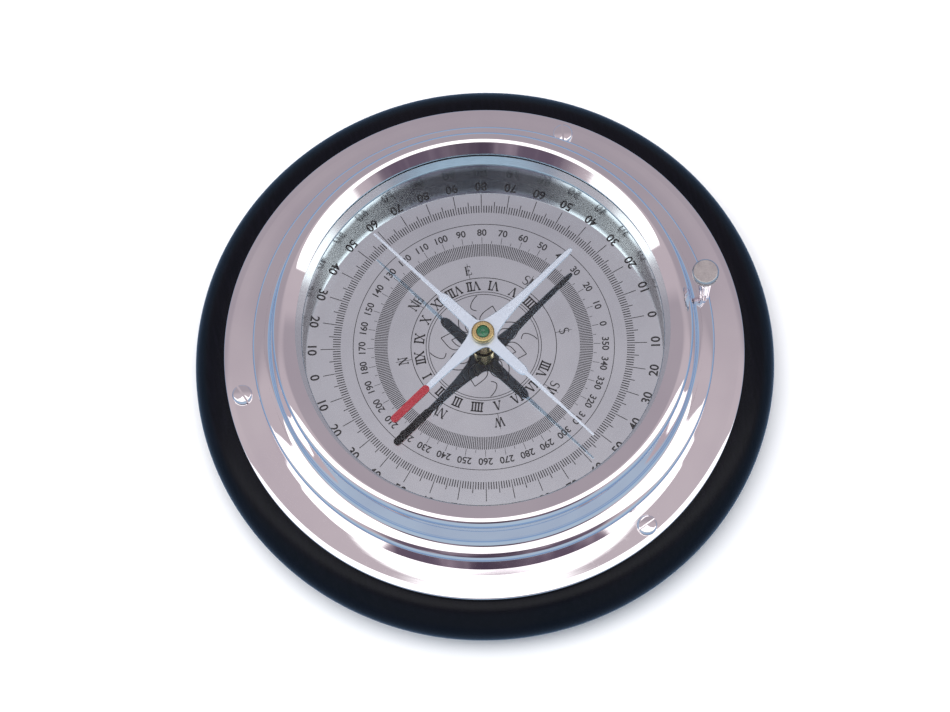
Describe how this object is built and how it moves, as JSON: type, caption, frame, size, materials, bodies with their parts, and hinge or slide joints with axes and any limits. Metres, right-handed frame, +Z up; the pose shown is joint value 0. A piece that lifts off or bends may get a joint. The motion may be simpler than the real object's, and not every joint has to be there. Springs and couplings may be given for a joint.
{
  "type": "ship compass",
  "caption": "Round desk compass: plated case on a dark turned wooden base, glazed mirror dial, four-armed needle and a screw-down needle lock.",
  "frame": {"origin": "centre of the felt underside, on the surface the compass stands on", "axes": "+Z up along the needle pivot, +Y towards the dial's north, +X towards the dial's east"},
  "size_m": [0.1524, 0.1524, 0.0449],
  "materials": {
    "black_stained_wood": "black stain under satin varnish",
    "felt": "baize",
    "plated_case": "bright nickel plate, hand polished",
    "plated_screw": "bright plate",
    "glass": "clear flat glass with a bevelled edge",
    "silvered_dial": "bright satin with black engraving",
    "liner": "satin",
    "gasket": "matt",
    "brass": "turned",
    "steel": "ground and polished",
    "needle_silver": "bright satin",
    "red_enamel": "semi-gloss enamel",
    "jewel_green": "polished cup jewel"
  },
  "bodies": {
    "case": {"felt_pad": "felt", "wood_base": "black_stained_wood", "flange_screws": "plated_screw", "case_ring": "plated_case", "bezel_ring": "plated_case", "back_plate": "brass", "back_plate_screws": "brass", "dial_plate": "silvered_dial", "dial_liner": "liner", "glass_gasket": "gasket", "cover_glass": "glass", "pivot_post": "brass", "pivot_pin": "steel", "pivot_nut": "brass", "lever_pin": "steel", "lever_bracket": "brass", "bracket_screws": "brass"},
    "thrust": {"thrust_pad": "brass"},
    "knob": {"lock_screw": "plated_case", "lock_knob": "plated_case"},
    "lever": {"lift_lever": "brass"},
    "sleeve": {"lift_sleeve": "brass"},
    "needle": {"needle_blade": "needle_silver", "needle_red_tip": "red_enamel", "cross_bar": "needle_silver", "cross_pointers": "needle_silver", "hub_cap": "brass", "jewel": "jewel_green"}
  },
  "joints": [
    {"name": "lock_travel", "type": "slide", "parent": "case", "child": "thrust", "axis": [0, 0, -1], "range_m": [0, 0.0004333]},
    {"name": "knob_turn", "type": "hinge", "parent": "thrust", "child": "knob", "pos_m": [0, -0.0585, 0.0254], "axis": [0, 0, -1], "range_deg": [0, 391]},
    {"name": "lever_tilt", "type": "hinge", "parent": "case", "child": "lever", "pos_m": [0, -0.03, 0.015], "axis": [1, 0, 0], "range_deg": [0, 0.8732]},
    {"name": "sleeve_lift", "type": "slide", "parent": "case", "child": "sleeve", "axis": [0, 0, 1], "range_m": [0, 0.0004582]},
    {"name": "needle_spin", "type": "hinge", "parent": "sleeve", "child": "needle", "pos_m": [0, 0, 0.0294], "axis": [0, 0, 1], "continuous": true}
  ],
  "couplings": [
    {"joint": "knob_turn", "follows": "lock_travel", "rad_per_m": 15708},
    {"joint": "lever_tilt", "follows": "lock_travel", "rad_per_m": 35.089},
    {"joint": "sleeve_lift", "follows": "lock_travel", "ratio": 1.0528}
  ]
}
